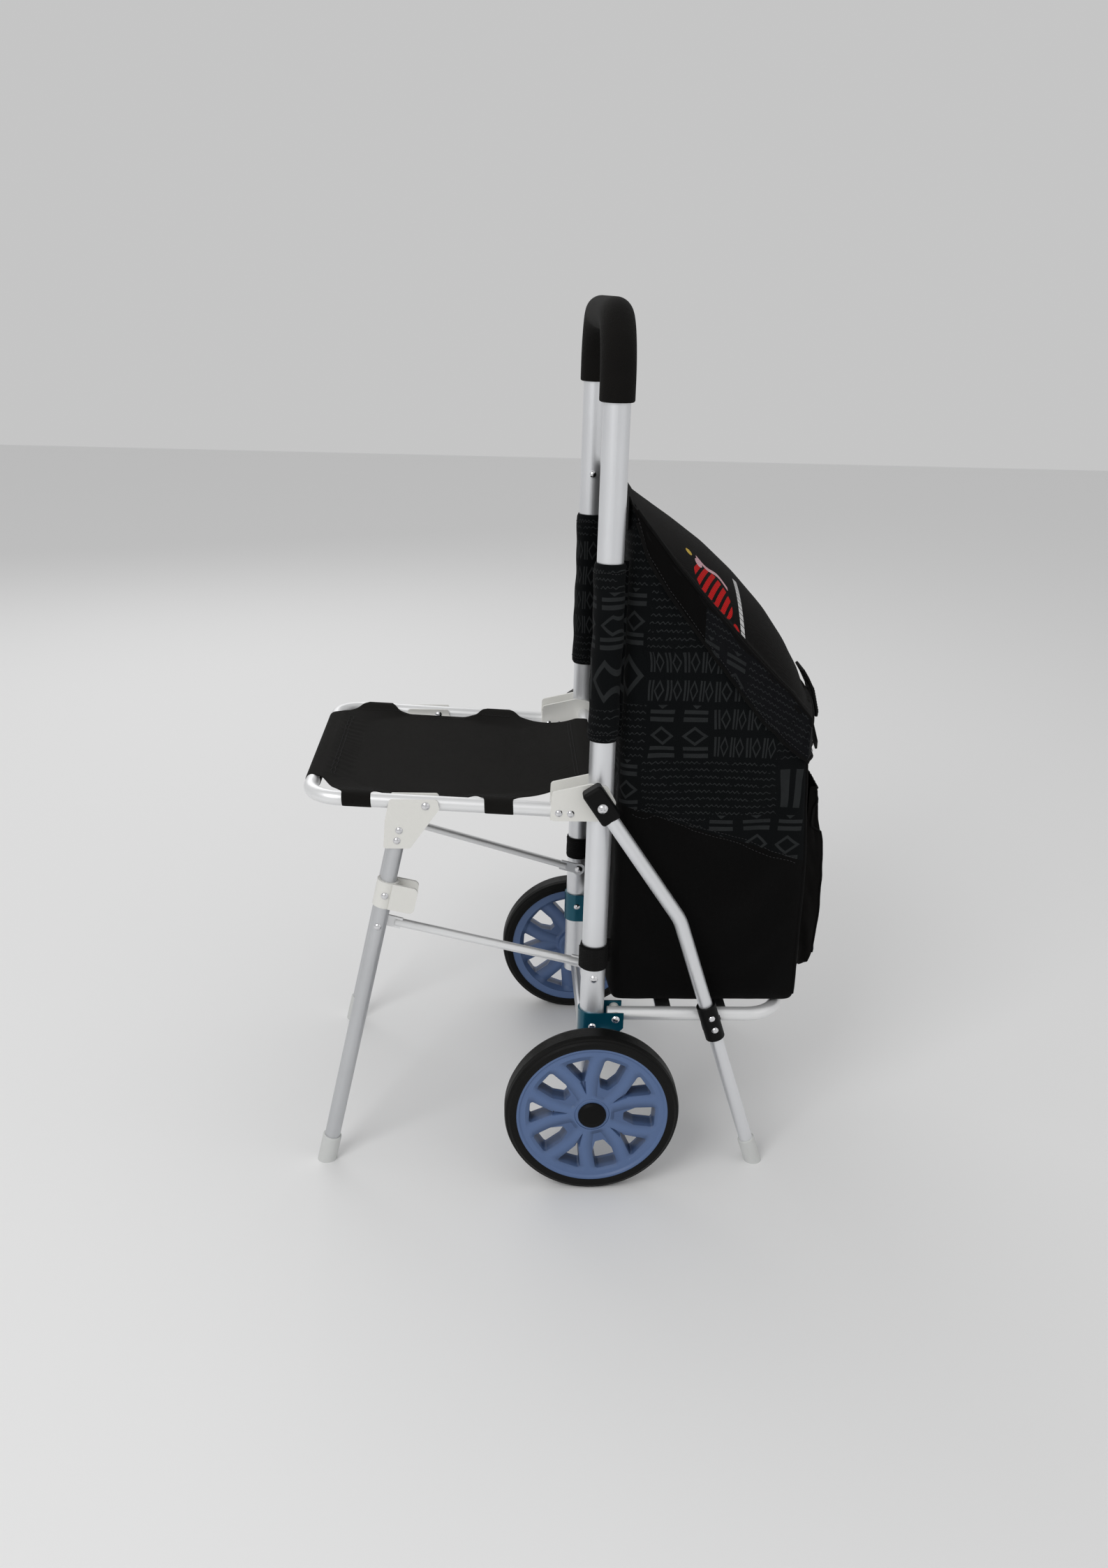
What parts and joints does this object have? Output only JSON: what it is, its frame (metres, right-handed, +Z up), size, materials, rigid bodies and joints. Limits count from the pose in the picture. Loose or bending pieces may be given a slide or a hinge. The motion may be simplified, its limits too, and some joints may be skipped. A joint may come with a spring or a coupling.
{
  "type": "shopping cart",
  "caption": "Two-wheeled pull-along shopping cart: U-shaped handle frame, fabric bag with a domed flap, and a fold-down cloth seat on hinged legs.",
  "frame": {"origin": "on the ground, in the middle of the cart's length and width", "axes": "+Z up; +X to the right hand of the person who pushes; +Y from the handle and seat towards the bag"},
  "size_m": [0.462, 0.608, 0.978],
  "materials": {
    "bag_fabric": "woven polyester, blue-black with a grey print",
    "bag_plain": "woven polyester, plain black",
    "base_board": "stiff board",
    "black_plastic": "moulded, black",
    "bright_rivet": "polished",
    "grey_plastic": "moulded, grey",
    "grip_foam": "closed-cell foam",
    "handle_tube": "satin anodised tube",
    "rim_blue": "moulded, slate blue",
    "seat_cloth": "woven polyester, black",
    "seat_tube": "white-silver powder coat",
    "teal_metal": "teal metallic coat",
    "tyre_rubber": "smooth black rubber",
    "white_plastic": "moulded, warm white",
    "zinc_steel": "zinc plated"
  },
  "bodies": {
    "frame": {"axle": "zinc_steel", "axle_nuts": "zinc_steel", "axle_spacers": "black_plastic", "bag_base_board": "base_board", "bag_body": "bag_fabric", "bag_pocket": "bag_plain", "bag_studs": "bright_rivet", "base_straps": "bag_plain", "frame_bracket_left": "teal_metal", "frame_bracket_right": "teal_metal", "frame_bracket_rivets": "bright_rivet", "handle_grip": "grip_foam", "handle_tube": "handle_tube", "link_tube_pins": "bright_rivet", "pivot_screws": "bright_rivet", "platform_bars": "zinc_steel", "platform_spacers": "white_plastic", "platform_tube": "handle_tube", "rear_foot_caps": "grey_plastic", "rear_leg_end_caps": "black_plastic", "rear_leg_left": "handle_tube", "rear_leg_right": "handle_tube", "rear_leg_saddles": "black_plastic", "saddle_rivets": "bright_rivet", "seat_cross_bar": "seat_tube", "tube_sleeves": "bag_fabric"},
    "flap": {"bag_flap": "bag_plain", "flap_strap": "bag_plain"},
    "front_leg_left": {"front_foot_cap_left": "grey_plastic", "front_leg_left": "handle_tube", "leg_bracket_left": "white_plastic", "leg_bracket_rivets_left": "bright_rivet", "leg_clip_left": "white_plastic", "leg_clip_rivet_left": "bright_rivet", "leg_stud_left": "bright_rivet"},
    "front_leg_right": {"front_foot_cap_right": "grey_plastic", "front_leg_right": "handle_tube", "leg_bracket_right": "white_plastic", "leg_bracket_rivets_right": "bright_rivet", "leg_clip_right": "white_plastic", "leg_clip_rivet_right": "bright_rivet", "leg_stud_right": "bright_rivet"},
    "wheel_left": {"hub_cap_left": "black_plastic", "tyre_left": "tyre_rubber", "wheel_bush_left": "black_plastic", "wheel_rim_left": "rim_blue"},
    "wheel_right": {"hub_cap_right": "black_plastic", "tyre_right": "tyre_rubber", "wheel_bush_right": "black_plastic", "wheel_rim_right": "rim_blue"},
    "seat": {"leg_pivot_pins": "bright_rivet", "seat_bracket_left": "white_plastic", "seat_bracket_right": "white_plastic", "seat_bracket_rivets": "bright_rivet", "seat_sling": "seat_cloth", "seat_tube": "seat_tube"},
    "link_left": {"link_left": "handle_tube", "link_leg_rivet_left": "bright_rivet"},
    "link_right": {"link_leg_rivet_right": "bright_rivet", "link_right": "handle_tube"}
  },
  "joints": [
    {"name": "seat_fold", "type": "hinge", "parent": "frame", "child": "seat", "pos_m": [0, 0.02395, 0.463], "axis": [-1, 0, 0], "range_deg": [0, 74]},
    {"name": "front_leg_right_fold", "type": "hinge", "parent": "seat", "child": "front_leg_right", "pos_m": [0, -0.16605, 0.4565], "axis": [-1, 0, 0], "range_deg": [-90.7, 0]},
    {"name": "link_right_fold", "type": "hinge", "parent": "frame", "child": "link_right", "pos_m": [0, 0.02395, 0.246], "axis": [-1, 0, 0], "range_deg": [0, 59.4]},
    {"name": "wheel_right_spin", "type": "hinge", "parent": "frame", "child": "wheel_right", "pos_m": [0.212, 0.02395, 0.1], "axis": [1, 0, 0], "continuous": true},
    {"name": "front_leg_left_fold", "type": "hinge", "parent": "seat", "child": "front_leg_left", "pos_m": [0, -0.16605, 0.4565], "axis": [-1, 0, 0], "range_deg": [-90.7, 0]},
    {"name": "link_left_fold", "type": "hinge", "parent": "frame", "child": "link_left", "pos_m": [0, 0.02395, 0.246], "axis": [-1, 0, 0], "range_deg": [0, 59.4]},
    {"name": "wheel_left_spin", "type": "hinge", "parent": "frame", "child": "wheel_left", "pos_m": [-0.212, 0.02395, 0.1], "axis": [1, 0, 0], "continuous": true},
    {"name": "flap_lift", "type": "hinge", "parent": "frame", "child": "flap", "pos_m": [0, 0.04595, 0.786], "axis": [1, 0, 0], "range_deg": [0, 120]}
  ],
  "couplings": [
    {"joint": "front_leg_right_fold", "follows": "seat_fold", "ratio": -1.2248},
    {"joint": "link_right_fold", "follows": "seat_fold", "ratio": 0.80124},
    {"joint": "front_leg_left_fold", "follows": "seat_fold", "ratio": -1.2248},
    {"joint": "link_left_fold", "follows": "seat_fold", "ratio": 0.80124}
  ]
}
